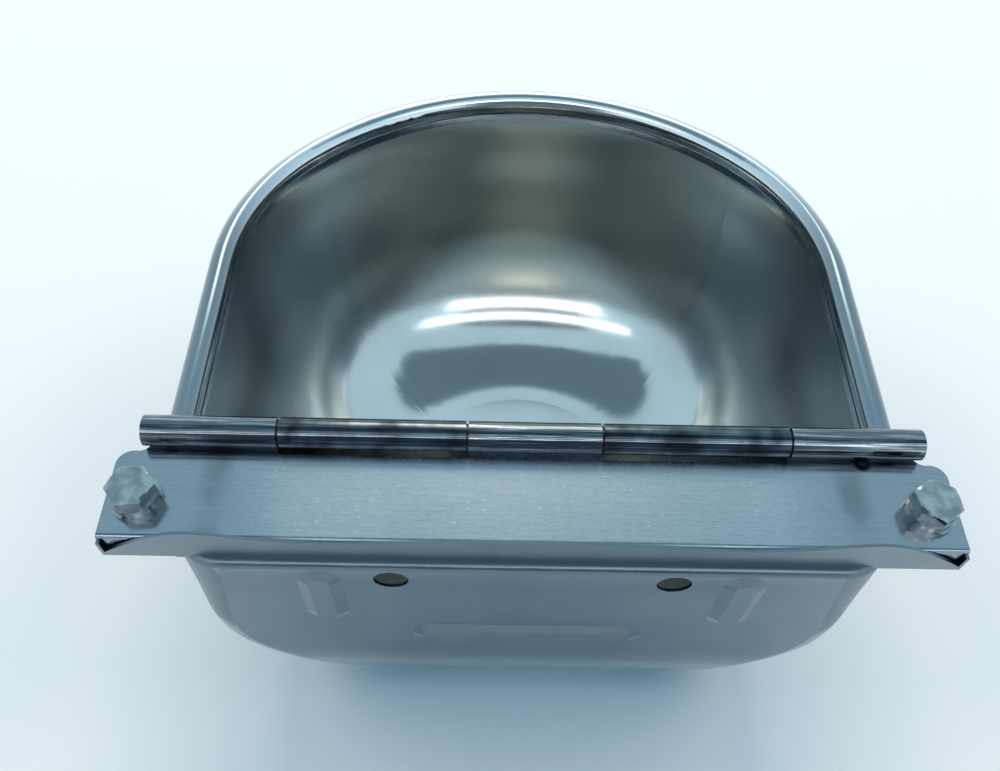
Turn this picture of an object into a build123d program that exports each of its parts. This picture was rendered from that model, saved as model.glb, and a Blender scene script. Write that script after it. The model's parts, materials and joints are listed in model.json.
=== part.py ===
from build123d import *
import os
from math import atan2, cos, degrees, radians, sin, sqrt, tan

os.makedirs("parts", exist_ok=True)

# Livestock drinking bowl: a deep-drawn bowl with a bolted rear cover, a guard flap on a rolled
# hinge, and a float valve in the chamber behind the flap. Lengths are in millimetres.
#
# The layout starts from the middle of the cover's rear fold: X runs across, Y towards the
# front of the bowl, Z up, and Z = 0 is the cover's top face. save() moves every piece, so that
# the origin ends under the middle of the overall box, on the surface that the bowl stands on.

# Sheet thicknesses and clearances
bowl_sheet = 1.0
cover_sheet = 1.0
flap_sheet = 1.0
seat_gap = 0.2        # between a piece and the piece that it rests over
running_gap = 0.05    # radial, round a turning or sliding pin
bolt_gap = 0.5        # radial, round a bolt in its hole
edge_gap = 0.6        # between two sheets that pass each other
blend_step = 0.2      # ledge where the rolled rim meets the drawn wall

# Drawn bowl
bowl_height = 122.0          # underside to the cover's top face
rim_half_width = 120.5
rim_reach = 220.5            # cover fold to the front of the rim
front_arc_excess = 11.0      # front arc's radius beyond the half width
rim_corner_radius = 93.0
rear_corner_radius = 16.5
back_set = 4.6               # back wall behind the cover fold
side_draft = 2.0             # degrees
front_draft = 10.0           # degrees
back_radius = 26.0           # bottom radii, outside
side_radius = 66.0
front_radius = 58.0
corner_tightening = 0.14     # rear corners lose this much radius per mm of depth
corner_growth = 1.15         # and gain this much of the side's bottom rounding
corner_share = 0.9           # of the half width, the most that a rear corner takes

# Rolled rim
bead_width = 9.0
bead_height = 9.5
bead_drop = 2.0              # rim top below the cover's top face
bead_start = 26.0            # the roll begins in front of the ear bolts

# Ears and upturned rear lip
lip_gap = 0.5                # lip to cover fold
lip_height = 4.4             # free edge above the cover, in the middle
lip_waist = 3.2
lip_waist_inset = 35.5       # waist and hump, in from the rim's side
lip_hump = 6.1
lip_hump_inset = 14.0
shoulder_radius = 2.5        # bend from the back wall to the ledge under the lip
ear_corner_radius = 5.0
ear_end_length = 26.0        # turned-up ends of the ears
ear_overhang = 11.1          # cover's ear beyond the rim

# Pressed ribs and holes in the back wall
mount_spacing = 88.6
mount_hole_diameter = 11.0
mount_hole_z = -17.2
rib_depth = 1.6
rib_slope = 3.6              # width of a rib's sloping flank
side_rib_x = 67.0
side_rib_width = 14.0
side_rib_top = -11.5
side_rib_bottom = -50.0
long_rib_length = 80.0
long_rib_width = 15.0
long_rib_z = -62.0

# Cover
ear_depth = 30.2
cover_step_radius = 4.0
tab_inset = 10.1             # cover's front part, in from the ears
fold_radius = 1.6
return_depth = 6.8
return_inset = 2.2
return_corner_radius = 4.0

# Hinge
hinge_y = 35.4
barrel_radius = 5.0
end_knuckle_overhang = 1.9   # beyond the cover's front part
flap_knuckle = 58.8
centre_knuckle = 42.0
knuckle_gap = 0.8
pin_recess = 0.5
weld_inset = 18.4            # from the barrel's end
weld_radius = 1.7

# Guard flap
flap_side_gap = 26.5         # from the leaf's side to the rim's
flap_drop = 80.0             # hinge axis to the flap's lower edge
flap_neck = 7.0              # hinge axis to the ledge that sets the leaf back under the pin
flap_corner_radius = 12.0
hem_height = 9.0
hem_inset = 14.0
hem_gap = 0.2

# M8 cover fasteners
bolt_inset = 9.6             # from the cover's side
bolt_y = 13.2
bolt_diameter = 8.0
bolt_length = 16.0
bolt_across_flats = 13.0
bolt_head_height = 5.3
left_bolt_turn = 7.0
right_bolt_turn = -25.0
flat_washer_diameter = 16.0
flat_washer_thickness = 1.6
spring_washer_diameter = 14.1
spring_washer_thickness = 2.0
spring_washer_split = 0.8
nut_across_flats = 13.0
nut_height = 6.8

# Float valve
valve_y = 18.5
valve_z = -23.5
valve_seat_radius = 13.0     # flat pressed in the side wall round the inlet
tail_diameter = 16.66        # G 3/8 thread, modelled as a plain cylinder
tail_length = 21.0           # outside the wall
tail_bore = 9.0
shank_diameter = 15.8        # thread's pitch diameter, inside the lock nut and the wall
tail_chamfer = 0.8
tail_hole_gap = 0.17
locknut_across_flats = 22.0
locknut_height = 5.0
seal_diameter = 23.0
outer_seal_thickness = 1.5
inner_seal_thickness = 2.0
collar_diameter = 24.0
collar_length = 3.5
barrel_diameter = 17.0
barrel_length = 22.0
plunger_diameter = 9.8
stem_diameter = 4.4          # plunger's stem, between the lugs
stem_start = 1.0             # behind the barrel's open end
plunger_seal_thickness = 2.0
plunger_seal_margin = 1.4    # plunger's rim round its seal
chamber_depth = 15.0         # from the barrel's open end to the seat's foot
seat_thickness = 3.5
seat_orifice = 3.2
nozzle_diameter = 5.4
nozzle_height = 1.2
outlet_diameter = 6.0
strainer_length = 12.0
strainer_wall = 0.7
slot_width = 1.2

# Lever and pivot
lug_thickness = 3.0
lug_radius = 5.0
lever_width = 5.0
lever_side_gap = 0.15
pivot_ahead = 7.0            # in front of the barrel's open end
pivot_below = 8.0            # under the valve's axis
pivot_diameter = 4.0
pivot_head_diameter = 6.5
pivot_head_thickness = 1.3
pivot_end_length = 4.0
split_pin_diameter = 1.3
hub_radius = 4.5
nose_radius = 1.6
nose_thickness = 2.0         # of the web under the nose's round tip
nose_gap = 0.15
lever_drop = 20.0            # degrees below level at rest
lever_swing = 26.0           # degrees from rest to closed
boss_diameter = 7.5
boss_start = 8.0
boss_end = 19.0

# Float on its rod
rod_diameter = 4.0
rod_grip = 7.0               # length of rod inside the lever's boss
rod_nut_across_flats = 7.0
rod_nut_height = 3.0
float_start = 50.0           # distances along the rod from the pivot
float_length = 64.0
float_width = 22.0
float_height = 28.0
float_edge_radius = 7.0
float_bore_gap = 0.2
rod_overhang = 1.5

# Places that follow from the sizes above
cover_half_width = rim_half_width + ear_overhang
tab_half_width = cover_half_width - tab_inset
return_half_width = cover_half_width - return_inset
bolt_x = cover_half_width - bolt_inset
ear_drop = cover_sheet + seat_gap + nut_height
ear_half_width = cover_half_width - seat_gap
lip_waist_x = rim_half_width - lip_waist_inset
lip_hump_x = rim_half_width - lip_hump_inset
flap_half_width = rim_half_width - flap_side_gap
hem_half_width = flap_half_width - hem_inset
hinge_z = barrel_radius - cover_sheet
wall_height = bowl_height - ear_drop
wall_half_width = rim_half_width - bead_width + bowl_sheet
wall_reach = rim_reach - bead_width + bowl_sheet
lip_front = -lip_gap
lip_back = lip_front - bowl_sheet
rib_back = -back_set - rib_depth
middle_y = (rim_reach + rib_back) / 2
pin_radius = barrel_radius - cover_sheet - running_gap
flap_start = centre_knuckle / 2 + knuckle_gap
flap_end = flap_start + flap_knuckle
barrel_start = flap_end + knuckle_gap
barrel_end = tab_half_width + end_knuckle_overhang
weld_x = barrel_end - weld_inset


def save(name, *pieces):
    home = Pos(0, -middle_y, bowl_height)
    moved = [home * piece for piece in pieces]
    shape = moved[0] if len(moved) == 1 else Compound(children=moved)
    export_step(shape, f"parts/{name}.step")


def block(low, high):
    size = [far - near for near, far in zip(low, high)]
    centre = [(far + near) / 2 for near, far in zip(low, high)]
    return Pos(*centre) * Box(*size)


def hexagon(across_flats, height):
    return extrude(RegularPolygon(across_flats / 2, 6, major_radius=False), height)


# ---------------------------------------------------------------- bowl


def dee_points(half_width, reach, corner):
    # The front is one shallow arc that runs tangent into a large corner arc on each side.
    front_arc = half_width + front_arc_excess
    rise = sqrt((front_arc - corner) ** 2 - (half_width - corner) ** 2)
    turn = degrees(atan2(rise, half_width - corner))
    return front_arc, reach - front_arc, reach - front_arc + rise, turn


def dee(half_width, rear, reach, corner, rear_corner):
    front_arc, arc_y, corner_y, turn = dee_points(half_width, reach, corner)
    corner_x = half_width - corner
    rear_x = half_width - rear_corner
    rear_y = rear + rear_corner
    outline = [
        Line((-rear_x, rear), (rear_x, rear)),
        CenterArc((rear_x, rear_y), rear_corner, 270, 90),
        Line((half_width, rear_y), (half_width, corner_y)),
        CenterArc((corner_x, corner_y), corner, 0, turn),
        CenterArc((0, arc_y), front_arc, turn, 180 - 2 * turn),
        CenterArc((-corner_x, corner_y), corner, 180 - turn, turn),
        Line((-half_width, corner_y), (-half_width, rear_y)),
        CenterArc((-rear_x, rear_y), rear_corner, 180, 90),
    ]
    return make_face(outline)


def drawn_sizes(height, skin):
    # Half width, rear, reach and both corner radii of a level section, skin inside the outer face.
    def inset(radius):
        lift = max(radius - height, 0)
        return radius - sqrt(max((radius - skin) ** 2 - lift ** 2, 0))

    depth = wall_height - height
    side = inset(side_radius) + depth * tan(radians(side_draft))
    front = inset(front_radius) + depth * tan(radians(front_draft))
    half_width = wall_half_width - side
    corner = rim_corner_radius - bead_width + bowl_sheet - side
    rear_corner = rear_corner_radius - corner_tightening * depth + corner_growth * inset(side_radius)
    rear_corner = min(rear_corner - skin, corner_share * half_width)
    return half_width, -back_set + inset(back_radius), wall_reach - front, corner, rear_corner


def drawn_section(height, skin):
    return Pos(0, 0, height - bowl_height) * dee(*drawn_sizes(height, skin))


def drawn_form(skin):
    largest = max(back_radius, side_radius, front_radius)
    turns = [0, 16, 31, 45, 57, 68, 77, 84, 90]
    heights = [largest - (largest - skin) * sin(radians(turn)) for turn in turns]
    top = wall_height - skin
    upper = [top + (largest - top) * share for share in (0, 1 / 3, 2 / 3)]
    return loft([drawn_section(height, skin) for height in upper + heights])


def bead_profile(skin):
    # Round-topped section of the rolled rim on the left side, across the rim's path.
    outer = -rim_half_width + skin
    inner = -(rim_half_width - bead_width) - blend_step - skin
    crown = (inner - outer) / 2
    spring = -bead_drop - skin - crown
    foot = -bead_drop - bead_height - skin
    outline = [
        Line((outer, foot), (outer, spring)),
        ThreePointArc((outer, spring), (outer + crown, spring + crown), (inner, spring)),
        Line((inner, spring), (inner, foot)),
        Line((inner, foot), (outer, foot)),
    ]
    return Plane.XZ.offset(-bead_start) * make_face(outline)


def rim_path():
    half_width, corner = rim_half_width, rim_corner_radius
    front_arc, arc_y, corner_y, turn = dee_points(half_width, rim_reach, corner)
    corner_x = half_width - corner
    return Wire([
        Line((-half_width, bead_start), (-half_width, corner_y)),
        CenterArc((-corner_x, corner_y), corner, 180, -turn),
        CenterArc((0, arc_y), front_arc, 180 - turn, 2 * turn - 180),
        CenterArc((corner_x, corner_y), corner, turn, -turn),
        Line((half_width, corner_y), (half_width, bead_start)),
    ])


def rib(x, z, length, width, turn):
    # A pressed rib: a wide slot at the wall, a narrower one at its crown.
    foot = -back_set + bowl_sheet / 2
    reach = foot - rib_back
    spread = rib_slope * reach / rib_depth
    crown_length = length - 2 * rib_slope
    crown_width = width - 2 * rib_slope
    wide = Rot(0, 0, turn) * SlotOverall(crown_length + 2 * spread, crown_width + 2 * spread)
    narrow = Rot(0, 0, turn) * SlotOverall(crown_length, crown_width)
    place = Plane.XZ.offset(-foot) * Pos(x, z)
    return loft([place * wide, place * Pos(0, 0, reach) * narrow], ruled=True)


def back_ribs():
    height = side_rib_top - side_rib_bottom
    middle = (side_rib_top + side_rib_bottom) / 2
    ribs = [rib(side * side_rib_x, middle, height, side_rib_width, 90) for side in (-1, 1)]
    return ribs + [rib(0, long_rib_z, long_rib_length, long_rib_width, 0)]


def inlet_face():
    # Outer face of the flat pressed round the inlet: no further out than any wall it replaces.
    depth = seat_bottom_depth()
    from_rear = valve_y - valve_seat_radius + back_set
    short = max(rear_corner_radius - from_rear, 0)
    loss = rear_corner_radius - sqrt(rear_corner_radius ** 2 - short ** 2)
    return wall_half_width - depth * tan(radians(side_draft)) - loss


def seat_bottom_depth():
    return -ear_drop - (valve_z - valve_seat_radius)


def inlet_pocket(skin):
    face = inlet_face() - skin
    length = rim_half_width - face
    shape = Cylinder(valve_seat_radius + skin, length)
    return Pos(-face - length / 2, valve_y, valve_z) * Rot(0, 90, 0) * shape


def ear_sheet():
    low = (-ear_half_width, lip_back, -ear_drop - bowl_sheet)
    high = (ear_half_width, ear_depth, -ear_drop)
    sheet = block(low, high)
    corners = sheet.edges().filter_by(Axis.Z).group_by(Axis.Y)[-1]
    return fillet(corners, ear_corner_radius)


def ear_end(side):
    outer = side * ear_half_width
    inner = side * (ear_half_width - bowl_sheet)
    top = -cover_sheet - seat_gap - 0.1
    low = (min(outer, inner), lip_back, -ear_drop - bowl_sheet)
    high = (max(outer, inner), lip_back + ear_end_length, top)
    return block(low, high)


def rear_lip():
    foot = -ear_drop - bowl_sheet
    end = (ear_half_width, -ear_drop)
    edge = Spline(
        [(0, lip_height), (lip_waist_x, lip_waist), (lip_hump_x, lip_hump), (rim_half_width, 0), end],
        tangents=[(1, 0), (1, -1)],
    )
    half = make_face([
        edge,
        Line(end, (ear_half_width, foot)),
        Line((ear_half_width, foot), (0, foot)),
        Line((0, foot), (0, lip_height)),
    ])
    profile = Plane.XZ.offset(lip_gap) * half
    right = extrude(profile, bowl_sheet)
    return right + mirror(right, Plane.YZ)


def mouth():
    # The drawn wall's inside carried up through the ledge and ears, in front of the lip.
    top = wall_height - bowl_sheet
    half_width, rear, reach, corner, rear_corner = drawn_sizes(top, bowl_sheet)
    face = dee(half_width, lip_front, reach, corner, rear_corner)
    return Pos(0, 0, top - bowl_height) * extrude(face, ear_drop + bowl_sheet + lip_hump)


def bowl_shell():
    outer = drawn_form(0)
    rear_top = outer.edges().group_by(Axis.Z)[-1].sort_by(Axis.Y)[0:3]
    outer = fillet(rear_top, shoulder_radius)
    inner = drawn_form(bowl_sheet)
    for pressed in back_ribs():
        outer += pressed
        inner += Pos(0, bowl_sheet, 0) * pressed
    outer -= inlet_pocket(0)
    inner -= inlet_pocket(bowl_sheet)
    path = rim_path()
    shell = outer + ear_sheet()
    shell += sweep(bead_profile(0), path=path)
    shell -= inner + mouth()
    shell -= sweep(bead_profile(bowl_sheet), path=path)
    shell += rear_lip()
    for side in (-1, 1):
        shell += ear_end(side)
        shell -= Pos(side * bolt_x, bolt_y, -ear_drop) * Cylinder(bolt_diameter / 2 + bolt_gap, 5)
        hole = Cylinder(mount_hole_diameter / 2, 4 * back_set)
        shell -= Pos(side * mount_spacing / 2, -back_set, mount_hole_z) * Rot(90, 0, 0) * hole
    inlet = Cylinder(tail_diameter / 2 + tail_hole_gap, rim_half_width)
    shell -= Pos(-rim_half_width, valve_y, valve_z) * Rot(0, 90, 0) * inlet
    return shell


# ---------------------------------------------------------------- cover and hinge


def cover_outline():
    ear = Pos(0, ear_depth / 2) * Rectangle(2 * cover_half_width, ear_depth)
    tab = Pos(0, hinge_y / 2) * Rectangle(2 * tab_half_width, hinge_y)
    plate = ear + tab
    steps = plate.vertices().filter_by(lambda corner: abs(corner.Y - ear_depth) < 0.01)
    outer = steps.filter_by(lambda corner: abs(corner.X) > (cover_half_width + tab_half_width) / 2)
    plate = fillet(outer, ear_corner_radius)
    inner = plate.vertices().filter_by(
        lambda corner: abs(corner.Y - ear_depth) < 0.01 and abs(abs(corner.X) - tab_half_width) < 0.01
    )
    plate = fillet(inner, min(cover_step_radius, 0.9 * (hinge_y - ear_depth)))
    room = barrel_radius + edge_gap
    for side in (-1, 1):
        middle = side * (flap_start + flap_end) / 2
        width = flap_knuckle + 2 * knuckle_gap
        plate -= Pos(middle, hinge_y) * Rectangle(width, 2 * room)
    return plate


def curl(start, end, from_angle, to_angle, sheet):
    # Sheet rolled round the pin, between two angles measured from +Y towards +Z.
    gap = [(0, 0)]
    for angle in (to_angle, (to_angle + from_angle + 360) / 2, from_angle + 360):
        gap.append((2 * barrel_radius * cos(radians(angle)), 2 * barrel_radius * sin(radians(angle))))
    opening = make_face(Polyline(*gap, close=True))
    ring = Circle(barrel_radius) - Circle(barrel_radius - sheet) - opening
    place = Plane.YZ.offset(start) * Pos(hinge_y, hinge_z)
    return extrude(place * ring, end - start)


def cover_return():
    low = (-return_half_width, 0, -return_depth)
    flange = block(low, (return_half_width, cover_sheet, 0))
    corners = flange.edges().filter_by(Axis.Y).group_by(Axis.Z)[0]
    return fillet(corners, return_corner_radius)


def tack_weld():
    # Small weld that pins the end knuckle to the cover.
    place = Pos(weld_x, hinge_y - barrel_radius, hinge_z - barrel_radius + cover_sheet)
    return place * Sphere(weld_radius)


def hinge_bore():
    length = 2 * barrel_end + 2
    return Pos(0, hinge_y, hinge_z) * Rot(0, 90, 0) * Cylinder(barrel_radius - cover_sheet, length)


def cover_plate():
    plate = Pos(0, 0, -cover_sheet) * extrude(cover_outline(), cover_sheet)
    plate += cover_return()
    fold = plate.edges().filter_by(Axis.X).group_by(Axis.Y)[0].sort_by(Axis.Z)[-1]
    plate = fillet(fold, fold_radius)
    spans = [(-barrel_end, -barrel_start), (-centre_knuckle / 2, centre_knuckle / 2),
             (barrel_start, barrel_end)]
    for start, end in spans:
        plate += curl(start, end, -90, 228, cover_sheet)
    plate += tack_weld()
    plate -= hinge_bore()
    for side in (-1, 1):
        plate -= Pos(side * bolt_x, bolt_y, 0) * Cylinder(bolt_diameter / 2 + bolt_gap, 4 * cover_sheet)
    return plate


def hinge_pin():
    length = 2 * (barrel_end - pin_recess)
    pin = chamfer(Cylinder(pin_radius, length).edges(), pin_radius / 10)
    return Pos(0, hinge_y, hinge_z) * Rot(0, 90, 0) * pin


def guard_flap():
    # Two knuckles, straps down their front side, a ledge back under the pin, and the leaf.
    axis = Pos(0, hinge_y, hinge_z)
    front = barrel_radius
    leaf_front = flap_sheet / 2
    ledge_top = -flap_neck
    ledge_foot = ledge_top - flap_sheet
    leaf = block((-flap_half_width, -leaf_front, -flap_drop), (flap_half_width, leaf_front, ledge_top))
    corners = leaf.edges().filter_by(Axis.Y).group_by(Axis.Z)[0]
    leaf = fillet(corners, flap_corner_radius)
    leaf += block((-flap_half_width, -leaf_front, ledge_foot), (flap_half_width, front, ledge_top))
    hem_back = leaf_front + hem_gap
    hem_front = hem_back + flap_sheet
    leaf += block((-hem_half_width, -leaf_front, -flap_drop),
                  (hem_half_width, hem_front, -flap_drop + flap_sheet))
    leaf += block((-hem_half_width, hem_back, -flap_drop),
                  (hem_half_width, hem_front, -flap_drop + hem_height))
    flap = axis * leaf
    for side in (-1, 1):
        start = min(side * flap_start, side * flap_end)
        end = start + flap_knuckle
        flap += axis * block((start, front - flap_sheet, ledge_foot), (end, front, 0))
        flap += curl(start, end, 0, 310, flap_sheet)
    return flap


# ---------------------------------------------------------------- cover fasteners


def cover_bolt():
    # The head's underside is at Z = 0.
    corner = bolt_across_flats / sqrt(3)
    turned = Pos(0, 0, bolt_head_height / 2) * Cylinder(corner, bolt_head_height)
    rim = turned.edges().group_by(Axis.Z)[-1]
    cut = corner - 0.47 * bolt_across_flats
    head = hexagon(bolt_across_flats, bolt_head_height) & chamfer(rim, cut * 0.55, cut)
    shank = Cylinder(bolt_diameter / 2, bolt_length)
    tip = shank.edges().group_by(Axis.Z)[0]
    return head + Pos(0, 0, -bolt_length / 2) * chamfer(tip, bolt_diameter / 10)


def ring(outer, inner, height):
    return Pos(0, 0, height / 2) * (Cylinder(outer / 2, height) - Cylinder(inner / 2, 2 * height))


def spring_washer():
    washer = ring(spring_washer_diameter, bolt_diameter + 0.4, spring_washer_thickness)
    split = Box(spring_washer_diameter, spring_washer_split, 4 * spring_washer_thickness)
    return washer - Pos(spring_washer_diameter / 2, 0, 0) * Rot(35, 0, 0) * split


def at_bolts(piece, level, turns=(0, 0)):
    return [Pos(side * bolt_x, bolt_y, level) * Rot(0, 0, turn) * piece
            for side, turn in zip((-1, 1), turns)]


def ear_nut():
    nut = hexagon(nut_across_flats, nut_height)
    return nut - Cylinder(bolt_diameter / 2 + running_gap, 4 * nut_height)


# ---------------------------------------------------------------- float valve

wall_outside = -inlet_face()
wall_inside = wall_outside + bowl_sheet
locknut_start = wall_outside - outer_seal_thickness - locknut_height
collar_start = wall_inside + inner_seal_thickness
body_start = collar_start + collar_length
body_end = body_start + barrel_length
seat_start = body_end - chamber_depth - seat_thickness
pivot_x = body_end + pivot_ahead
pivot_z = valve_z - pivot_below
chamber_radius = plunger_diameter / 2 + running_gap
nose_lean = lever_swing / 2
nose_length = pivot_below / cos(radians(nose_lean))
nose_reach = nose_length * sin(radians(nose_lean))
plunger_travel = 2 * nose_reach
plunger_end = pivot_x + nose_reach - nose_radius - nose_gap
nozzle_tip = seat_start + seat_thickness + nozzle_height
seal_face = nozzle_tip + plunger_travel + seat_gap
seal_radius = plunger_diameter / 2 - plunger_seal_margin
lever_half_gap = lever_width / 2 + lever_side_gap


def rod(start, length, diameter, bore=0.0):
    # A cylinder or sleeve along the valve's axis, from x = start towards +X.
    shape = Cylinder(diameter / 2, length)
    if bore > 0:
        shape -= Cylinder(bore / 2, 2 * length)
    return Pos(start + length / 2, valve_y, valve_z) * Rot(0, 90, 0) * shape


def valve_body():
    tail_start = wall_outside - tail_length
    body = rod(tail_start, locknut_start - tail_start, tail_diameter)
    body += rod(locknut_start, collar_start - locknut_start, shank_diameter)
    body += rod(collar_start, collar_length, collar_diameter)
    body += rod(body_start, barrel_length, barrel_diameter)
    mouth_edge = body.edges().group_by(Axis.X)[0]
    body = chamfer(mouth_edge, tail_chamfer)
    side = lever_half_gap + lug_thickness / 2
    for hand in (-1, 1):
        lug = [
            Line((body_end - lug_radius, valve_z + lug_radius), (pivot_x + lug_radius, pivot_z)),
            Line((body_end - lug_radius, valve_z + lug_radius), (body_end - lug_radius, pivot_z)),
            ThreePointArc((pivot_x + lug_radius, pivot_z), (pivot_x, pivot_z - lug_radius),
                          (pivot_x - lug_radius, pivot_z)),
            Line((pivot_x - lug_radius, pivot_z), (body_end - lug_radius, pivot_z)),
        ]
        face = Plane.XZ.offset(-valve_y - hand * side + lug_thickness / 2) * make_face(lug)
        body += extrude(face, -lug_thickness)
    chamber_start = seat_start
    body -= rod(chamber_start, body_end - chamber_start + 1, 2 * chamber_radius)
    body -= rod(tail_start - 1, chamber_start - tail_start + 2, tail_bore)
    outlet_x = nozzle_tip + plunger_travel / 2
    outlet = Cylinder(outlet_diameter / 2, barrel_diameter)
    body -= Pos(outlet_x, valve_y, valve_z - barrel_diameter / 2) * outlet
    pin_hole = Cylinder(pivot_diameter / 2 + running_gap, barrel_diameter)
    body -= Pos(pivot_x, valve_y, pivot_z) * Rot(90, 0, 0) * pin_hole
    body -= lever_room()
    return body


def lever_room():
    # Space between the lugs, so that the lever's hub and nose swing clear of the barrel's web.
    return block((body_end, valve_y - lever_half_gap, pivot_z - 2 * lug_radius),
                 (pivot_x + 2 * lug_radius, valve_y + lever_half_gap, valve_z + 2 * lug_radius))


def valve_seat():
    radius = chamber_radius - running_gap
    seat = rod(seat_start + seat_gap, seat_thickness - seat_gap, 2 * radius)
    seat += rod(seat_start + seat_thickness, nozzle_height, nozzle_diameter)
    return seat - rod(seat_start, seat_thickness + 2 * nozzle_height, seat_orifice)


def plunger():
    shoulder = body_end - stem_start
    body = rod(seal_face, shoulder - seal_face, plunger_diameter)
    stem = rod(shoulder - 1, plunger_end - shoulder + 1, stem_diameter)
    tip = stem.edges().group_by(Axis.X)[-1]
    body += fillet(tip, stem_diameter / 6)
    pocket = plunger_seal_thickness + seat_gap
    return body - rod(seal_face - 1, pocket + 1, 2 * (seal_radius + running_gap))


def inlet_locknut():
    nut = hexagon(locknut_across_flats, locknut_height)
    nut = Pos(0, 0, -locknut_height / 2) * nut
    nut -= Cylinder(shank_diameter / 2 + running_gap, 4 * locknut_height)
    return Pos(locknut_start + locknut_height / 2, valve_y, valve_z) * Rot(0, 90, 0) * nut


def inlet_strainer():
    # A cup in the tail, open towards the supply, with slots round its side.
    outer = tail_bore / 2 - running_gap
    start = wall_outside - tail_length + 1
    cup = rod(start, strainer_length, 2 * outer)
    cup -= rod(start - 1, strainer_length + 1 - strainer_wall, 2 * (outer - strainer_wall))
    middle = start + strainer_length / 2
    slot = Box(strainer_length / 2, slot_width, 4 * tail_bore)
    for turn in (0, 60, 120):
        cup -= Pos(middle, valve_y, valve_z) * Rot(turn, 0, 0) * slot
    return cup


def pivot_pin():
    reach = lever_half_gap + lug_thickness + seat_gap
    length = 2 * reach + pivot_end_length
    shank = Cylinder(pivot_diameter / 2, length)
    shank = chamfer(shank.edges().group_by(Axis.Z)[-1], pivot_diameter / 10)
    head = Cylinder(pivot_head_diameter / 2, pivot_head_thickness)
    pin = Pos(0, 0, length / 2 - reach) * shank + Pos(0, 0, -reach - pivot_head_thickness / 2) * head
    hole = Rot(90, 0, 0) * Cylinder(split_pin_diameter / 2 + running_gap, 2 * pivot_diameter)
    pin -= Pos(0, 0, split_pin_place()) * hole
    return Pos(pivot_x, valve_y, pivot_z) * Rot(90, 0, 0) * pin


def split_pin_place():
    return lever_half_gap + lug_thickness + seat_gap + pivot_end_length / 2


def split_pin():
    # An eye on one side of the pivot pin, and two legs spread on the other.
    wire = split_pin_diameter / 2
    length = pivot_diameter + 3
    leg = Cylinder(wire, length)
    eye = Pos(0, 0, length / 2 + wire) * Rot(90, 0, 0) * Torus(1.6 * wire, 0.6 * wire)
    spread = length / 2 - wire
    legs = [Pos(0, 0, -spread) * Rot(0, turn, 0) * Pos(0, 0, -1.2) * Cylinder(0.6 * wire, 2.4)
            for turn in (-50, 50)]
    pin = leg + eye + legs[0] + legs[1]
    return Pos(pivot_x, valve_y - split_pin_place(), pivot_z) * pin


def lever_frame():
    # X along the rod, Z up from it, at the lever's rest.
    return Pos(pivot_x, valve_y, pivot_z) * Rot(0, lever_drop, 0)


def along_rod(start, length, diameter, bore=0.0):
    shape = Cylinder(diameter / 2, length)
    if bore > 0:
        shape -= Cylinder(bore / 2, 2 * length)
    return lever_frame() * Pos(start + length / 2, 0, 0) * Rot(0, 90, 0) * shape


def float_lever():
    across = Rot(90, 0, 0)
    nose_angle = 90 + lever_drop - nose_lean
    hub = across * Cylinder(hub_radius, lever_width)
    nose = Rot(0, -nose_angle, 0) * (
        Pos(nose_length / 2, 0, 0) * Box(nose_length, lever_width, nose_thickness)
        + Pos(nose_length, 0, 0) * across * Cylinder(nose_radius, lever_width)
    )
    neck = block((0, -lever_width / 2, -lever_width / 2), (boss_start + 1, lever_width / 2, lever_width / 2))
    lever = lever_frame() * (hub + nose + neck)
    lever += along_rod(boss_start, boss_end - boss_start, boss_diameter)
    grip = boss_end - rod_grip
    lever -= along_rod(grip, rod_grip + 1, rod_diameter + 2 * running_gap)
    hole = across * Cylinder(pivot_diameter / 2 + running_gap, 2 * lever_width)
    return lever - lever_frame() * hole


def rod_nut(start):
    nut = hexagon(rod_nut_across_flats, rod_nut_height) - Cylinder(
        rod_diameter / 2 + running_gap, 4 * rod_nut_height)
    return lever_frame() * Pos(start, 0, 0) * Rot(0, 90, 0) * nut


def float_rod():
    start = boss_end - rod_grip + seat_gap
    end = float_start + float_length + rod_nut_height + rod_overhang
    return along_rod(start, end - start, rod_diameter)


def float_body():
    body = fillet(Box(float_length, float_width, float_height).edges(), float_edge_radius)
    body = lever_frame() * Pos(float_start + float_length / 2, 0, 0) * body
    bore = rod_diameter + 2 * float_bore_gap
    return body - along_rod(float_start - 1, float_length + 2, bore)


# ---------------------------------------------------------------- the pieces

head_level = flat_washer_thickness + spring_washer_thickness
head_turns = (left_bolt_turn, right_bolt_turn)

save("bowl_shell", bowl_shell())
save("cover_plate", cover_plate())
save("hinge_pin", hinge_pin())
save("guard_flap", guard_flap())

save("cover_bolts", *at_bolts(cover_bolt(), head_level, head_turns))
save("spring_washers", *at_bolts(spring_washer(), flat_washer_thickness, (200, 150)))
save("flat_washers", *at_bolts(
    ring(flat_washer_diameter, bolt_diameter + 0.4, flat_washer_thickness), 0))
save("ear_nuts", *at_bolts(ear_nut(), -ear_drop))

seal_bore = tail_diameter + 2 * running_gap
save("valve_body", valve_body())
save("valve_seat", valve_seat())
save("inlet_locknut", inlet_locknut())
save("outer_seal", rod(wall_outside - outer_seal_thickness, outer_seal_thickness, seal_diameter, seal_bore))
save("inner_seal", rod(wall_inside, inner_seal_thickness, seal_diameter, seal_bore))
save("inlet_strainer", inlet_strainer())
save("plunger", plunger())
save("plunger_seal", rod(seal_face, plunger_seal_thickness, 2 * seal_radius))

save("float_lever", float_lever())
save("pivot_pin", pivot_pin())
save("split_pin", split_pin())
save("float_rod", float_rod())
save("rod_lock_nut", rod_nut(boss_end))
save("float", float_body())
save("float_nuts", rod_nut(float_start - rod_nut_height), rod_nut(float_start + float_length))
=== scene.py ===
import json
from math import cos, pi, radians, sin

import bmesh
import bpy
from mathutils import Matrix, Vector

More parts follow.
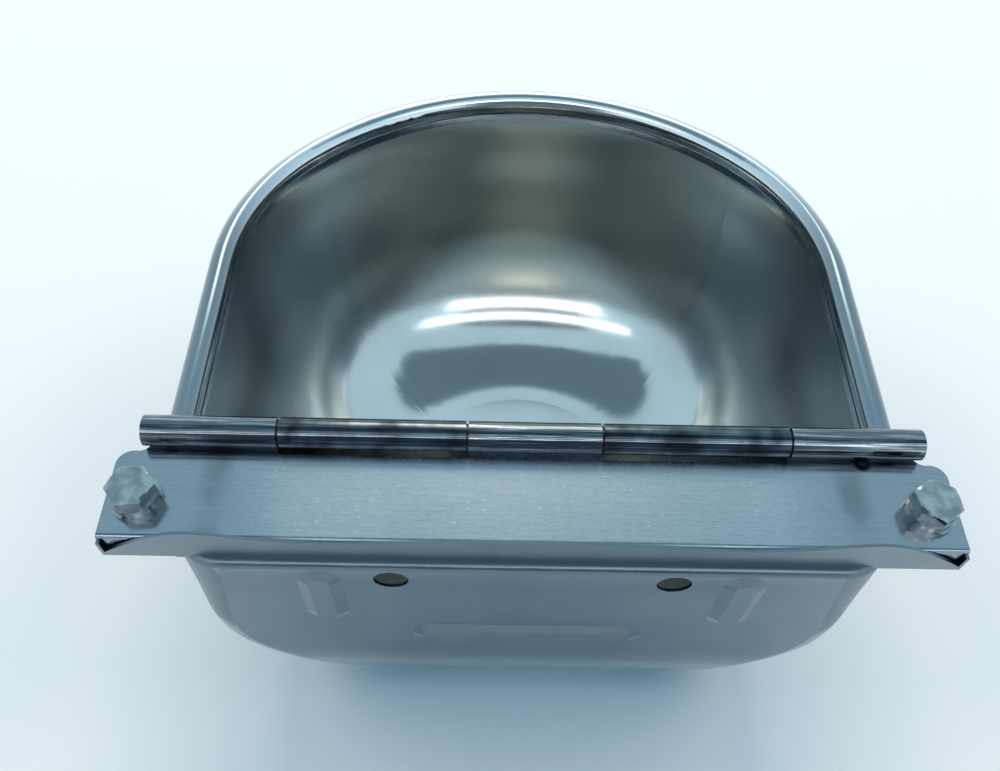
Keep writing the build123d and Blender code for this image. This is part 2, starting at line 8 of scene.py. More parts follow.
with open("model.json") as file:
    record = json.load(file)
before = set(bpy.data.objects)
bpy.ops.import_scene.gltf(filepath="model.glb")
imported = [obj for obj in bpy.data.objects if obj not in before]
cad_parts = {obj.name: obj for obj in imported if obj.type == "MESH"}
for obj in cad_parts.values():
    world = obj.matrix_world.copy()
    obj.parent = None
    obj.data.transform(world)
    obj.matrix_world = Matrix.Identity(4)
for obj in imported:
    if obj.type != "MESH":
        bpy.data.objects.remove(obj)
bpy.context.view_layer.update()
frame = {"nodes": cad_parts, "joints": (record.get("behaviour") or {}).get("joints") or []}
nodes = frame["nodes"]
scene = bpy.context.scene
scene.view_settings.view_transform = "Standard"
print("frame loaded:", len(nodes), "nodes")

mm = 0.001
joints = {joint["name"]: joint for joint in frame["joints"]}
hinge = {
    "fromFold": Vector((0, 35.4, 4.0)) * mm,   # hinge axis, seen from the cover's rear fold
    "barrelRadius": 5.0 * mm,
    "weldFromMiddle": 105.0 * mm,
}
hingeAxis = Vector(joints["flap_hinge"]["pos_m"])
fold = hingeAxis - hinge["fromFold"]           # middle of the cover's rear fold, on its top face


# Helpers for node trees

def place(tree, kind, inputs=None, **attributes):
    # Adds a node; an input takes a plain value or another node's socket.
    node = tree.nodes.new(kind)
    for name, value in attributes.items():
        setattr(node, name, value)
    for name, value in (inputs or {}).items():
        if isinstance(value, bpy.types.NodeSocket):
            tree.links.new(value, node.inputs[name])
        else:
            node.inputs[name].default_value = value
    return node


def combine(tree, operation, first, second):
    return place(tree, "ShaderNodeMath", {0: first, 1: second}, operation=operation).outputs[0]


def remap(tree, value, low, high, start=0.0, end=1.0, smooth=True):
    node = place(tree, "ShaderNodeMapRange", {"Value": value, "From Min": low, "From Max": high,
                                              "To Min": start, "To Max": end})
    node.interpolation_type = "SMOOTHSTEP" if smooth else "LINEAR"
    return node.outputs["Result"]


def mixColours(tree, share, first, second, blend="MIX"):
    node = tree.nodes.new("ShaderNodeMix")
    node.data_type = "RGBA"
    node.blend_type = blend
    for index, value in ((0, share), (6, first), (7, second)):
        if isinstance(value, bpy.types.NodeSocket):
            tree.links.new(value, node.inputs[index])
        else:
            node.inputs[index].default_value = value if index == 0 else (*value, 1)
    return node.outputs[2]


def newGroup(name, inputs, outputs):
    tree = bpy.data.node_groups.new(name, "ShaderNodeTree")
    for label, kind, value in inputs:
        socket = tree.interface.new_socket(label, in_out="INPUT", socket_type=kind)
        if value is not None:
            socket.default_value = value
    for label, kind in outputs:
        tree.interface.new_socket(label, in_out="OUTPUT", socket_type=kind)
    return tree, tree.nodes.new("NodeGroupInput"), tree.nodes.new("NodeGroupOutput")


vectorSocket, floatSocket = "NodeSocketVector", "NodeSocketFloat"


def makeLinesGroup():
    # Fine lines left by brushing or rolling, longest along the axis of least density.
    tree, given, result = newGroup(
        "brushLines",
        [("Vector", vectorSocket, None), ("Density", vectorSocket, (1, 1, 1)),
         ("Contrast", floatSocket, 1.0)],
        [("Lines", floatSocket), ("Broad", floatSocket)],
    )
    stretched = place(tree, "ShaderNodeVectorMath",
                      {0: given.outputs["Vector"], 1: given.outputs["Density"]},
                      operation="MULTIPLY").outputs[0]
    fine = place(tree, "ShaderNodeTexNoise", {"Vector": stretched, "Scale": 1.0, "Detail": 4.0,
                                              "Roughness": 0.65}).outputs["Fac"]
    broad = place(tree, "ShaderNodeTexNoise", {"Vector": stretched, "Scale": 0.16,
                                               "Detail": 2.0}).outputs["Fac"]
    centred = combine(tree, "SUBTRACT", fine, 0.5)
    contrasted = combine(tree, "MULTIPLY", centred, given.outputs["Contrast"])
    tree.links.new(combine(tree, "ADD", contrasted, 0.5), result.inputs["Lines"])
    tree.links.new(remap(tree, broad, 0.3, 0.7), result.inputs["Broad"])
    return tree


def makeCloudGroup():
    # Soft blotches of handling and rolling, from a few millimetres to a few centimetres.
    tree, given, result = newGroup(
        "clouds",
        [("Vector", vectorSocket, None), ("Size", floatSocket, 0.03),
         ("Sharpness", floatSocket, 0.5)],
        [("Mask", floatSocket)],
    )
    scale = combine(tree, "DIVIDE", 1.0, given.outputs["Size"])
    noise = place(tree, "ShaderNodeTexNoise", {"Vector": given.outputs["Vector"], "Scale": scale,
                                               "Detail": 3.0, "Distortion": 0.2}).outputs["Fac"]
    softest, sharpest = 0.25, 0.02      # half width of a blotch's edge, in steps of the noise
    half = remap(tree, given.outputs["Sharpness"], 0, 1, softest, sharpest, False)
    low = combine(tree, "SUBTRACT", 0.5, half)
    high = combine(tree, "ADD", 0.5, half)
    tree.links.new(remap(tree, noise, low, high), result.inputs["Mask"])
    return tree


def makeFleckGroup():
    # Scattered small flecks: dried drops, dust and bright nicks.
    tree, given, result = newGroup(
        "flecks",
        [("Vector", vectorSocket, None), ("Spacing", floatSocket, 0.004),
         ("Size", floatSocket, 0.2), ("Share", floatSocket, 0.4)],
        [("Mask", floatSocket)],
    )
    scale = combine(tree, "DIVIDE", 1.0, given.outputs["Spacing"])
    cells = place(tree, "ShaderNodeTexVoronoi", {"Vector": given.outputs["Vector"], "Scale": scale,
                                                 "Randomness": 1.0})
    chance = place(tree, "ShaderNodeSeparateColor", {0: cells.outputs["Color"]}).outputs[0]
    chosen = combine(tree, "LESS_THAN", chance, given.outputs["Share"])
    solidShare = 0.4                    # the rest of a fleck's radius is its soft edge
    inner = combine(tree, "MULTIPLY", given.outputs["Size"], solidShare)
    spot = remap(tree, cells.outputs["Distance"], inner, given.outputs["Size"], 1.0, 0.0)
    tree.links.new(combine(tree, "MULTIPLY", spot, chosen), result.inputs["Mask"])
    return tree


groups = {"lines": makeLinesGroup(), "clouds": makeCloudGroup(), "flecks": makeFleckGroup()}
print("shader groups made")


def newMaterial(name):
    material = bpy.data.materials.new(name)
    material.use_nodes = True
    tree = material.node_tree
    tree.nodes.clear()
    shader = tree.nodes.new("ShaderNodeBsdfPrincipled")
    output = tree.nodes.new("ShaderNodeOutputMaterial")
    tree.links.new(shader.outputs[0], output.inputs[0])
    where = tree.nodes.new("ShaderNodeTexCoord").outputs["Object"]
    return material, tree, shader, where


def useGroup(tree, name, inputs):
    return place(tree, "ShaderNodeGroup", inputs, node_tree=groups[name])


def bump(tree, height, strength, distance):
    return place(tree, "ShaderNodeBump", {"Height": height, "Strength": strength,
                                          "Distance": distance}).outputs["Normal"]


def moved(low, high, start):
    # A pair of distances, measured from start.
    return start + low, start + high


def bowlZones(tree, where, finish, colour, roughness):
    # The drawn walls are duller than the floor and darker, a painted shade for the dark
    # surroundings they mirror;
    # inside they turn lighter towards the front, a painted reflection, and the rolled rim likewise
    # goes from painted shade at the back to a painted highlight at the front. The bottom of the
    # chamber behind the flap is painted dark, a painted shade.
    upward = place(tree, "ShaderNodeSeparateXYZ", {0: where.node.outputs["Normal"]}).outputs["Z"]
    position = place(tree, "ShaderNodeSeparateXYZ", {0: where})
    forward, height = position.outputs["Y"], position.outputs["Z"]
    # Painted shade: the walls get darker colours than the floor; inside they lighten towards the
    # front, a painted reflection.
    rise = remap(tree, height, *finish["wallHeight"])
    toFront = remap(tree, forward, *moved(*finish["lighterFrom"], fold.y))
    inside = mixColours(tree, toFront, finish["wall"], finish["wallFront"])
    drawn = place(tree, "ShaderNodeVectorMath", {0: where, 1: finish["marbleStretch"]},
                  operation="MULTIPLY")
    marbled = useGroup(tree, "clouds", {"Vector": drawn.outputs[0], "Size": finish["marbleSize"],
                                        "Sharpness": finish["marbleSharpness"]}).outputs["Mask"]
    outside = mixColours(tree, marbled, finish["wallOutside"], finish["wallOutsideLight"])
    facing = remap(tree, upward, *finish["facesInside"])
    wall = mixColours(tree, facing, outside, inside)
    colour = mixColours(tree, rise, colour, wall)
    duller = combine(tree, "MULTIPLY", rise, finish["wallDullness"])
    roughness = combine(tree, "ADD", roughness, duller)
    # Painted shade on the rim at the back, turning to a painted highlight at the front.
    onRim = combine(tree, "MULTIPLY", remap(tree, height, *finish["rimHeight"]),
                    remap(tree, forward, *moved(*finish["rimFrom"], fold.y)))
    rim = mixColours(tree, toFront, finish["rim"], finish["rimFront"])
    colour = mixColours(tree, onRim, colour, rim)
    smoother = combine(tree, "MULTIPLY", onRim, finish["wallDullness"] - finish["rimDullness"])
    roughness = combine(tree, "SUBTRACT", roughness, smoother)
    # Painted shade: the bottom of the chamber behind the flap is painted near black.
    low = combine(tree, "MULTIPLY", remap(tree, upward, *finish["facesUp"]),
                  remap(tree, height, *finish["chamberHeight"], 1, 0))
    pastWall = remap(tree, forward, *moved(*finish["chamberFrom"], fold.y))
    beforeFlap = remap(tree, forward, *moved(*finish["chamberTo"], fold.y), 1, 0)
    inChamber = combine(tree, "MULTIPLY", low, combine(tree, "MULTIPLY", pastWall, beforeFlap))
    colour = mixColours(tree, inChamber, colour, finish["chamber"])
    duller = combine(tree, "MULTIPLY", inChamber, finish["chamberDullness"])
    return colour, combine(tree, "ADD", roughness, duller)


def flapZones(tree, where, finish, clouds, colour, roughness):
    # Only the rolled barrel is streaked, its near-black colour a painted shade and its bright
    # streaks painted highlights; the leaf below it is plain sheet.
    flat = place(tree, "ShaderNodeVectorMath", {0: where, 1: (0, 1, 1)}, operation="MULTIPLY")
    axis = (0, hingeAxis.y, hingeAxis.z)
    fromAxis = place(tree, "ShaderNodeVectorMath", {0: flat.outputs[0], 1: axis},
                     operation="DISTANCE").outputs["Value"]
    onLeaf = remap(tree, fromAxis, *moved(*finish["leafFrom"], hinge["barrelRadius"]))
    leaf = mixColours(tree, clouds, finish["leafDark"], finish["leaf"])
    duller = combine(tree, "MULTIPLY", onLeaf, finish["leafDullness"])
    return mixColours(tree, onLeaf, colour, leaf), combine(tree, "ADD", roughness, duller)


def shadeByLines(tree, colour, lines, depth):
    faintest, strongest = 0.2, 0.8
    level = remap(tree, lines, faintest, strongest, 1 - depth, 1 + depth)
    shade = place(tree, "ShaderNodeCombineColor", {0: level, 1: level, 2: level}).outputs[0]
    return mixColours(tree, 1.0, colour, shade, "MULTIPLY")


def steel(name, finish):
    # Stainless sheet or bar: brush lines, blotches and a few dark specks on a metal.
    material, tree, shader, where = newMaterial(name)
    shader.inputs["Metallic"].default_value = 1.0
    lines = useGroup(tree, "lines", {"Vector": where, "Density": finish["lineDensity"],
                                     "Contrast": finish["lineContrast"]}).outputs["Lines"]
    clouds = useGroup(tree, "clouds", {"Vector": where, "Size": finish["cloudSize"],
                                       "Sharpness": finish["cloudSharpness"]}).outputs["Mask"]
    drops = useGroup(tree, "flecks", {"Vector": where, "Spacing": finish["dropSpacing"],
                                      "Size": finish["dropSize"],
                                      "Share": finish["dropShare"]}).outputs["Mask"]
    colour = mixColours(tree, clouds, finish["dark"], finish["light"])
    colour = shadeByLines(tree, colour, lines, finish["lineShade"])
    spotted = combine(tree, "MULTIPLY", drops, finish["dropStrength"])
    colour = mixColours(tree, spotted, colour, finish["drop"])
    low, high = finish["roughness"]
    roughness = remap(tree, clouds, 0, 1, high, low, False)
    if "leaf" in finish:
        colour, roughness = flapZones(tree, where, finish, clouds, colour, roughness)
    if "wall" in finish:
        colour, roughness = bowlZones(tree, where, finish, colour, roughness)
    tree.links.new(colour, shader.inputs["Base Color"])
    lineRough = combine(tree, "MULTIPLY", combine(tree, "SUBTRACT", lines, 0.5),
                        finish["lineRoughness"])
    roughness = combine(tree, "ADD", roughness, lineRough)
    dropRough = combine(tree, "MULTIPLY", drops, finish["dropDullness"])
    tree.links.new(combine(tree, "ADD", roughness, dropRough), shader.inputs["Roughness"])
    tree.links.new(bump(tree, lines, finish["bump"], finish["bumpDepth"]), shader.inputs["Normal"])
    return material


anySteel = {
    "lineContrast": 1.3, "cloudSharpness": 0.3, "bumpDepth": 0.04 * mm,
    "dropSize": 0.10, "dropShare": 0.2, "dropStrength": 0.3, "dropDullness": 0.15,
}
bowlFinish = {
    **anySteel, "light": (0.62, 0.63, 0.62), "dark": (0.57, 0.58, 0.57),
    "drop": (0.40, 0.41, 0.36), "dropSpacing": 40 * mm, "dropSize": 0.03,
    "lineDensity": (900, 900, 70), "lineShade": 0.02, "lineRoughness": 0.012, "bump": 0.012,
    "cloudSize": 50 * mm, "roughness": (0.10, 0.14),
    # The wall colours are painted shade, wallFront is a painted reflection; the outside blotches
    # are tone.
    "wall": (0.17, 0.21, 0.25), "wallFront": (0.78, 0.84, 0.80),
    "wallOutside": (0.37, 0.43, 0.47), "wallOutsideLight": (0.47, 0.53, 0.57),
    "wallHeight": (12 * mm, 45 * mm), "wallDullness": 0.19, "lighterFrom": (110 * mm, 195 * mm),
    "marbleSize": 22 * mm, "marbleStretch": (1, 1, 0.45), "marbleSharpness": 0.35,
    # The rim colours are painted shade at the back and a painted highlight at the front.
    "rim": (0.22, 0.27, 0.31), "rimFront": (0.76, 0.80, 0.83), "rimDullness": 0.02,
    "rimHeight": (109.5 * mm, 111 * mm), "rimFrom": (24 * mm, 27 * mm),
    # The chamber colour is a painted shade.
    "chamber": (0.05, 0.055, 0.06), "chamberDullness": 0.3, "chamberHeight": (50 * mm, 80 * mm),
    "chamberFrom": (12 * mm, 18 * mm), "chamberTo": (48 * mm, 62 * mm),
    "facesInside": (-0.02, 0.01), "facesUp": (0.01, 0.04),      # upward part of a face's normal
}
# The barrel's near-black colour is painted shade and its bright lengthwise streaks are painted
# highlights.
barrelFinish = {
    **anySteel, "light": (0.15, 0.18, 0.21), "dark": (0.04, 0.05, 0.065),
    "drop": (0.06, 0.05, 0.04), "dropSpacing": 12 * mm,
    "lineDensity": (18, 1500, 1500), "lineShade": 0.6, "lineRoughness": 0.05, "bump": 0.12,
    "cloudSize": 10 * mm, "roughness": (0.08, 0.14),
}
flapFinish = {
    **barrelFinish, "leaf": (0.43, 0.46, 0.48), "leafDark": (0.40, 0.43, 0.45),
    "leafFrom": (0.3 * mm, 1.2 * mm), "leafDullness": 0.12,
}
rodFinish = {
    **barrelFinish, "light": (0.60, 0.61, 0.61), "dark": (0.52, 0.53, 0.54), "lineShade": 0.08,
}
# The pin's near-black colour is a painted shade, which darkens the gaps between the knuckles.
pinFinish = {
    **barrelFinish, "light": (0.06, 0.06, 0.065), "dark": (0.03, 0.03, 0.035),
    "roughness": (0.3, 0.4),
}
boltFinish = {
    **anySteel, "light": (0.43, 0.45, 0.46), "dark": (0.24, 0.26, 0.28),
    "drop": (0.12, 0.10, 0.09), "dropSpacing": 6 * mm,
    "lineDensity": (500, 500, 900), "lineShade": 0.04, "lineRoughness": 0.06, "bump": 0.06,
    "cloudSize": 5 * mm, "roughness": (0.08, 0.15),
}


def coverMaterial():
    # Plate frosted in the middle and clearer at the ends, whose darker colour there is painted
    # shade, with streaked knuckles in painted shade and painted highlights, a painted dark
    # reflection inside each bolt and one burnt weld spot.
    settings = {
        # clear is a painted shade at the plate's ends; frost and clear also set the roughness.
        "clear": (0.28, 0.32, 0.36), "frost": (0.38, 0.45, 0.51), "frostEnds": (72 * mm, 98 * mm),
        "frostBehindHinge": (-10 * mm, -7 * mm), "plateRoughness": (0.14, 0.40),
        "speckleSize": 1.0 * mm, "speckleStretch": (0.45, 1.0, 1.0), "patchSize": 30 * mm,
        "fleck": (0.90, 0.94, 0.95), "fleckSpacing": 1.9 * mm, "fleckSize": 0.18,
        "fleckShare": 0.35, "fleckStrength": 0.35, "fleckDullness": 0.3,
        # The knuckle colours are painted shade with painted highlight streaks.
        "knuckle": (0.46, 0.50, 0.54), "knuckleDark": (0.13, 0.15, 0.18),
        "knuckleHeight": (0.5 * mm, 0.9 * mm), "knuckleRoughness": (0.08, 0.14),
        "lineDensity": (45, 1400, 1400), "lineContrast": 1.5, "lineShade": 0.05,
        # A painted dark reflection: a band inside each bolt.
        "paintedReflection": (0.17, 0.20, 0.23), "paintedReflectionFrom": (93 * mm, 98 * mm),
        "paintedReflectionTo": (100 * mm, 107 * mm),
        "burnt": (0.015, 0.015, 0.02), "burntRadius": (2.0 * mm, 3.4 * mm), "burntDullness": 0.5,
        "bump": 0.08, "bumpDepth": 0.04 * mm,
    }
    material, tree, shader, where = newMaterial("coverSteel")
    shader.inputs["Metallic"].default_value = 1.0
    position = place(tree, "ShaderNodeSeparateXYZ", {0: where})
    onKnuckle = remap(tree, position.outputs["Z"], *moved(*settings["knuckleHeight"], fold.z))
    fromMiddle = combine(tree, "ABSOLUTE", position.outputs["X"], 0)
    streaks = useGroup(tree, "lines", {"Vector": where, "Density": settings["lineDensity"],
                                       "Contrast": settings["lineContrast"]})
    patches = useGroup(tree, "clouds", {"Vector": where, "Size": settings["patchSize"],
                                        "Sharpness": 0.4}).outputs["Mask"]
    stretched = place(tree, "ShaderNodeVectorMath", {0: where, 1: settings["speckleStretch"]},
                      operation="MULTIPLY").outputs[0]
    speckle = useGroup(tree, "clouds", {"Vector": stretched, "Size": settings["speckleSize"],
                                        "Sharpness": 0.45}).outputs["Mask"]
    flecks = useGroup(tree, "flecks", {"Vector": stretched, "Spacing": settings["fleckSpacing"],
                                       "Size": settings["fleckSize"],
                                       "Share": settings["fleckShare"]}).outputs["Mask"]
    # Painted shade: the clear ends take a darker colour than the frosted middle; the strip by the
    # hinge is less frosted and darker.
    middle = remap(tree, fromMiddle, *settings["frostEnds"], 1, 0.12)
    frost = combine(tree, "MULTIPLY", middle, remap(tree, patches, 0, 1, 0.85, 1.0))
    hingeSide = moved(*settings["frostBehindHinge"], hingeAxis.y)
    atHinge = remap(tree, position.outputs["Y"], *hingeSide, 1, 0.65)
    frost = combine(tree, "MULTIPLY", frost, atHinge)
    mottle = combine(tree, "MULTIPLY", frost, remap(tree, speckle, 0, 1, 0.7, 1.0))
    colour = mixColours(tree, mottle, settings["clear"], settings["frost"])
    dusted = combine(tree, "MULTIPLY", flecks,
                     combine(tree, "MULTIPLY", frost, settings["fleckStrength"]))
    colour = mixColours(tree, dusted, colour, settings["fleck"])
    # Painted reflection: a dark band inside each bolt, patchy along its length.
    paintedReflectionShare = combine(tree, "MULTIPLY", remap(tree, fromMiddle, *settings["paintedReflectionFrom"]),
                      remap(tree, fromMiddle, *settings["paintedReflectionTo"], 1, 0))
    paintedReflectionShare = combine(tree, "MULTIPLY", paintedReflectionShare, remap(tree, patches, 0, 1, 0.8, 0.2))
    colour = mixColours(tree, paintedReflectionShare, colour, settings["paintedReflection"])
    # Painted shade and painted highlights: the knuckles are near black with bright lengthwise
    # streaks.
    streaked = remap(tree, streaks.outputs["Lines"], 0.45, 0.80)
    knuckle = mixColours(tree, streaked, settings["knuckleDark"], settings["knuckle"])
    colour = mixColours(tree, onKnuckle, colour, knuckle)
    colour = shadeByLines(tree, colour, streaks.outputs["Lines"], settings["lineShade"])
    weld = Vector((fold.x + hinge["weldFromMiddle"], hingeAxis.y - hinge["barrelRadius"], fold.z))
    away = place(tree, "ShaderNodeVectorMath", {0: where, 1: weld},
                 operation="DISTANCE").outputs["Value"]
    burnt = remap(tree, away, *settings["burntRadius"], 1.0, 0.0)
    colour = mixColours(tree, burnt, colour, settings["burnt"])
    tree.links.new(colour, shader.inputs["Base Color"])
    onPlate = combine(tree, "ADD", remap(tree, mottle, 0, 1, *settings["plateRoughness"], False),
                      combine(tree, "MULTIPLY", dusted, settings["fleckDullness"]))
    polished = remap(tree, streaks.outputs["Broad"], 0, 1, *settings["knuckleRoughness"], False)
    roughness = place(tree, "ShaderNodeMix", {0: onKnuckle, 2: onPlate, 3: polished})
    duller = combine(tree, "MULTIPLY", burnt, settings["burntDullness"])
    roughness = combine(tree, "ADD", roughness.outputs[0], duller)
    tree.links.new(roughness, shader.inputs["Roughness"])
    height = combine(tree, "ADD", combine(tree, "MULTIPLY", speckle, frost),
                     combine(tree, "MULTIPLY", streaks.outputs["Lines"], 0.5))
    tree.links.new(bump(tree, height, settings["bump"], settings["bumpDepth"]),
                   shader.inputs["Normal"])
    return material


def brass(name, rough, scale):
    # Cast or turned brass with tarnish in blotches; scale is the size of its grain.
    settings = {
        "light": (0.78, 0.62, 0.34), "dark": (0.52, 0.38, 0.17), "roughnessSpread": 0.12,
        "tarnish": (0.22, 0.17, 0.10), "tarnishStrength": 0.3, "tarnishSize": 3 * scale,
        "lineDensity": (1800, 300, 300), "bump": 0.3, "bumpDepth": 0.12 * mm,
    }
    material, tree, shader, where = newMaterial(name)
    shader.inputs["Metallic"].default_value = 1.0
    clouds = useGroup(tree, "clouds", {"Vector": where, "Size": scale,
                                       "Sharpness": 0.4}).outputs["Mask"]
    lines = useGroup(tree, "lines", {"Vector": where, "Density": settings["lineDensity"],
                                     "Contrast": 1.4}).outputs["Lines"]
    stains = useGroup(tree, "clouds", {"Vector": where, "Size": settings["tarnishSize"],
                                       "Sharpness": 1.0}).outputs["Mask"]
    colour = mixColours(tree, clouds, settings["dark"], settings["light"])
    stained = combine(tree, "MULTIPLY", stains, settings["tarnishStrength"])
    colour = mixColours(tree, stained, colour, settings["tarnish"])
    tree.links.new(colour, shader.inputs["Base Color"])
    roughness = remap(tree, clouds, 0, 1, rough + settings["roughnessSpread"], rough, False)
    tree.links.new(roughness, shader.inputs["Roughness"])
    height = combine(tree, "ADD", lines, clouds)
    tree.links.new(bump(tree, height, settings["bump"], settings["bumpDepth"]),
                   shader.inputs["Normal"])
    return material


def moulded(name, light, dark, rough, grainSize):
    # Rubber or plastic: a dull skin with faint blotches, fine grain and dust.
    settings = {
        "cloudSize": 12 * mm, "roughnessSpread": 0.12, "bump": 0.2, "bumpDepth": 0.1 * mm,
        "dust": (0.5, 0.5, 0.47), "dustSpacing": 3 * mm, "dustSize": 0.14, "dustStrength": 0.25,
    }
    material, tree, shader, where = newMaterial(name)
    clouds = useGroup(tree, "clouds", {"Vector": where, "Size": settings["cloudSize"],
                                       "Sharpness": 0.3}).outputs["Mask"]
    grain = useGroup(tree, "clouds", {"Vector": where, "Size": grainSize,
                                      "Sharpness": 0.5}).outputs["Mask"]
    dust = useGroup(tree, "flecks", {"Vector": where, "Spacing": settings["dustSpacing"],
                                     "Size": settings["dustSize"], "Share": 0.3}).outputs["Mask"]
    colour = mixColours(tree, clouds, dark, light)
    dusted = combine(tree, "MULTIPLY", dust, settings["dustStrength"])
    colour = mixColours(tree, dusted, colour, settings["dust"])
    tree.links.new(colour, shader.inputs["Base Color"])
    roughness = remap(tree, grain, 0, 1, rough, rough + settings["roughnessSpread"], False)
    tree.links.new(roughness, shader.inputs["Roughness"])
    tree.links.new(bump(tree, grain, settings["bump"], settings["bumpDepth"]),
                   shader.inputs["Normal"])
    return material


materials = {
    "bowl_shell": steel("bowlSteel", bowlFinish),
    "cover_plate": coverMaterial(),
    "guard_flap": steel("flapSteel", flapFinish),
    "hinge_pin": steel("pinSteel", pinFinish),
    "float_rod": steel("rodSteel", rodFinish),
    "cover_bolts": steel("boltSteel", boltFinish),
    "valve_body": brass("castBrass", 0.28, 4 * mm),
    "inlet_locknut": brass("turnedBrass", 0.20, 3 * mm),
    "outer_seal": moulded("rubber", (0.035, 0.035, 0.036), (0.018, 0.018, 0.02), 0.6, 0.5 * mm),
    "float": moulded("floatPlastic", (0.84, 0.86, 0.84), (0.74, 0.77, 0.75), 0.38, 0.4 * mm),
    "plunger": moulded("plungerPlastic", (0.82, 0.82, 0.78), (0.72, 0.72, 0.68), 0.3, 0.3 * mm),
}
sameAs = {
    "spring_washers": "cover_bolts", "flat_washers": "cover_bolts", "ear_nuts": "cover_bolts",
    "pivot_pin": "float_rod", "split_pin": "float_rod",
    "rod_lock_nut": "cover_bolts", "float_nuts": "cover_bolts", "inlet_strainer": "float_rod",
    "valve_seat": "inlet_locknut", "float_lever": "valve_body", "inner_seal": "outer_seal",
    "plunger_seal": "outer_seal",
}
for name, node in nodes.items():
    material = materials[sameAs.get(name, name)]
    if not node.material_slots:
        node.data.materials.append(material)
    for slot in node.material_slots:
        slot.material = material
print("materials set on", len(nodes), "nodes")


# Floor, light and camera

studio = {
    "floorSize": 6.0, "floorColour": (0.92, 0.97, 0.985), "floorRoughness": 0.6,
    "floorSpecular": 0.15,
    "fillNear": (0.11, 0.24, 0.37), "fillFar": (0.33, 0.55, 0.73),     # light on dull surfaces
    "fillAlong": (-0.7, 0.5),
    "wall": (0.90, 0.985, 1.0), "roof": (0.58, 0.84, 0.97), "roofHeight": (0.05, 0.6),
    "opening": (0.15, 0.25, 0.31),
    "openingShape": (0.56, 0.63, -0.28),            # half width, depth and near edge
    "openingBlur": (0.94, 1.06), "openingNearBlur": (-0.01, 0.02), "openingHeight": (0, 0.3),
    "nearGap": (0.11, 0.16, 0.21), "nearGapAside": (0.26, 0.42), "nearGapTo": (-0.52, -0.47),
    "farGlow": (5.0, 4.7, 3.6), "farGlowAside": (0.13, 0.20),
    "farGlowFrom": (0.58, 0.64), "farGlowTo": (0.86, 0.92),
    "softLamps": [
        {"name": "leftSide", "turn": -75, "rise": 45, "away": 2.6, "size": (1.4, 1.1),
         "level": 0.18},
        {"name": "rightSide", "turn": 75, "rise": 45, "away": 2.6, "size": (1.4, 1.1),
         "level": 0.18},
        {"name": "farSide", "turn": 0, "rise": 52, "away": 3.4, "size": (2.2, 1.2),
         "level": 0.38},
    ],
    "softColour": (1.0, 0.84, 0.66),
    "tubes": [
        {"name": "lowTube", "place": (0.0, -1.40, 1.40), "size": (1.85, 0.20), "brightness": 3.4},
        {"name": "highTube", "place": (0.0, -1.02, 1.46), "size": (2.35, 0.13), "brightness": 3.4},
    ],
    "tubeColour": (0.90, 0.98, 1.0),
}


def makeFloor():
    grid = bmesh.new()
    bmesh.ops.create_grid(grid, x_segments=1, y_segments=1, size=studio["floorSize"] / 2)
    mesh = bpy.data.meshes.new("floor")
    grid.to_mesh(mesh)
    grid.free()
    floor = bpy.data.objects.new("floor", mesh)
    scene.collection.objects.link(floor)
    material, tree, shader, where = newMaterial("floorPaint")
    shader.inputs["Base Color"].default_value = (*studio["floorColour"], 1)
    shader.inputs["Roughness"].default_value = studio["floorRoughness"]
    shader.inputs["Specular IOR Level"].default_value = studio["floorSpecular"]
    mesh.materials.append(material)


def makeLamp(name, at, size, brightness, colour):
    light = bpy.data.lights.new(name, "AREA")
    light.shape = "RECTANGLE"
    light.size, light.size_y = size
    light.energy = brightness * pi * size[0] * size[1]
    light.color = colour
    lamp = bpy.data.objects.new(name, light)
    turn = (-at).to_track_quat("-Z", "Y").to_matrix().to_4x4()
    lamp.matrix_world = Matrix.Translation(at) @ turn
    scene.collection.objects.link(lamp)
    return lamp


def makeSoftLamp(plan):
    # Lights the floor and the dull pieces; level is its share of the light on a flat white floor.
    turn, rise = radians(plan["turn"]), radians(plan["rise"])
    at = Vector((sin(turn) * cos(rise), cos(turn) * cos(rise), sin(rise))) * plan["away"]
    spread = plan["size"][0] * plan["size"][1] / plan["away"] ** 2
    brightness = plan["level"] * pi / (spread * sin(rise))
    lamp = makeLamp(plan["name"], at, plan["size"], brightness, studio["softColour"])
    lamp.visible_glossy = False


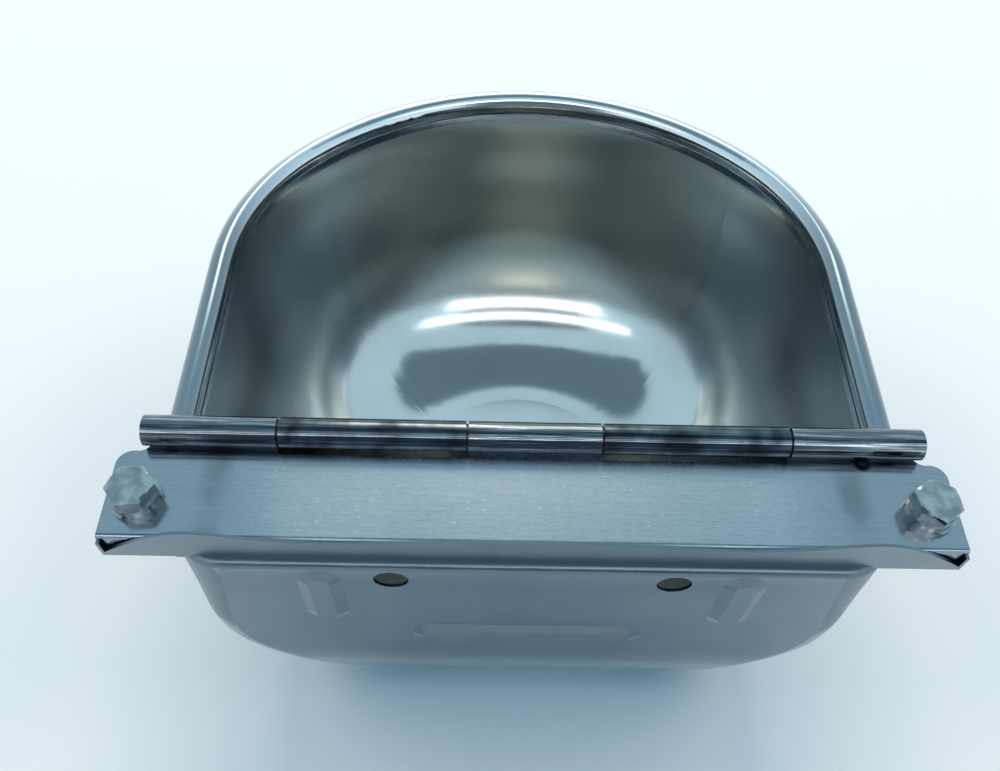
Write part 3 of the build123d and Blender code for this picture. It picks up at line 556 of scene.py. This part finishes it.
def makeWorld():
    # What the metal mirrors: light walls, a roof with a dark opening, a dark gap on the near side
    # and a warm glow on the far side. Dull surfaces get a soft fill, and the camera sees the wall
    # colour.
    world = bpy.data.worlds.new("studio")
    world.use_nodes = True
    scene.world = world
    tree = world.node_tree
    tree.nodes.clear()
    direction = tree.nodes.new("ShaderNodeTexCoord").outputs["Generated"]
    across, along, height = place(tree, "ShaderNodeSeparateXYZ", {0: direction}).outputs
    aside = combine(tree, "ABSOLUTE", across, 0)
    roofShare = remap(tree, height, *studio["roofHeight"])
    seen = mixColours(tree, roofShare, studio["wall"], studio["roof"])
    halfWide, deep, edge = studio["openingShape"]
    scaled = place(tree, "ShaderNodeVectorMath", {0: direction, 1: (1 / halfWide, 1 / deep, 0)},
                   operation="MULTIPLY").outputs[0]
    offset = place(tree, "ShaderNodeVectorMath", {0: scaled, 1: (0, edge / deep, 0)},
                   operation="DISTANCE").outputs["Value"]
    openShare = combine(tree, "MULTIPLY", remap(tree, offset, *studio["openingBlur"], 1, 0),
                        remap(tree, along, *moved(*studio["openingNearBlur"], edge)))
    openShare = combine(tree, "MULTIPLY", openShare,
                        remap(tree, height, *studio["openingHeight"]))
    seen = mixColours(tree, openShare, seen, studio["opening"])
    gapShare = combine(tree, "MULTIPLY", remap(tree, aside, *studio["nearGapAside"], 1, 0),
                       remap(tree, along, *studio["nearGapTo"], 1, 0))
    seen = mixColours(tree, gapShare, seen, studio["nearGap"])
    glowDepth = combine(tree, "MULTIPLY", remap(tree, along, *studio["farGlowFrom"]),
                        remap(tree, along, *studio["farGlowTo"], 1, 0))
    glowShare = combine(tree, "MULTIPLY", remap(tree, aside, *studio["farGlowAside"], 1, 0),
                        glowDepth)
    seen = mixColours(tree, glowShare, seen, studio["farGlow"])
    path = tree.nodes.new("ShaderNodeLightPath")
    mirrored = combine(tree, "MAXIMUM", path.outputs["Is Glossy Ray"],
                       path.outputs["Is Transmission Ray"])
    fillShare = remap(tree, along, *studio["fillAlong"])
    fill = mixColours(tree, fillShare, studio["fillNear"], studio["fillFar"])
    colour = mixColours(tree, mirrored, fill, seen)
    colour = mixColours(tree, path.outputs["Is Camera Ray"], colour, studio["wall"])
    background = place(tree, "ShaderNodeBackground", {"Color": colour, "Strength": 1.0})
    output = tree.nodes.new("ShaderNodeOutputWorld")
    tree.links.new(background.outputs[0], output.inputs[0])


def makeCamera():
    view = {"fromFold": Vector((-15.76, -117.75, 251.43)) * mm, "lens": 32.875,
            "down": 55.01, "yaw": -1.49, "roll": 2.38}
    data = bpy.data.cameras.new("camera")
    data.sensor_width = 36.0
    data.lens = view["lens"]
    data.clip_start = 0.01
    camera = bpy.data.objects.new("camera", data)
    turn = Matrix.Rotation(radians(view["yaw"]), 4, "Z")
    tilt = Matrix.Rotation(radians(90 - view["down"]), 4, "X")
    roll = Matrix.Rotation(radians(view["roll"]), 4, "Z")
    camera.matrix_world = Matrix.Translation(fold + view["fromFold"]) @ turn @ tilt @ roll
    scene.collection.objects.link(camera)
    scene.camera = camera


makeFloor()
for plan in studio["softLamps"]:
    makeSoftLamp(plan)
for plan in studio["tubes"]:
    tube = makeLamp(plan["name"], Vector(plan["place"]), plan["size"], plan["brightness"],
                    studio["tubeColour"])
    tube.visible_diffuse = False        # the tubes only shine in the metal
makeWorld()
makeCamera()
print("floor, lamps and camera placed")
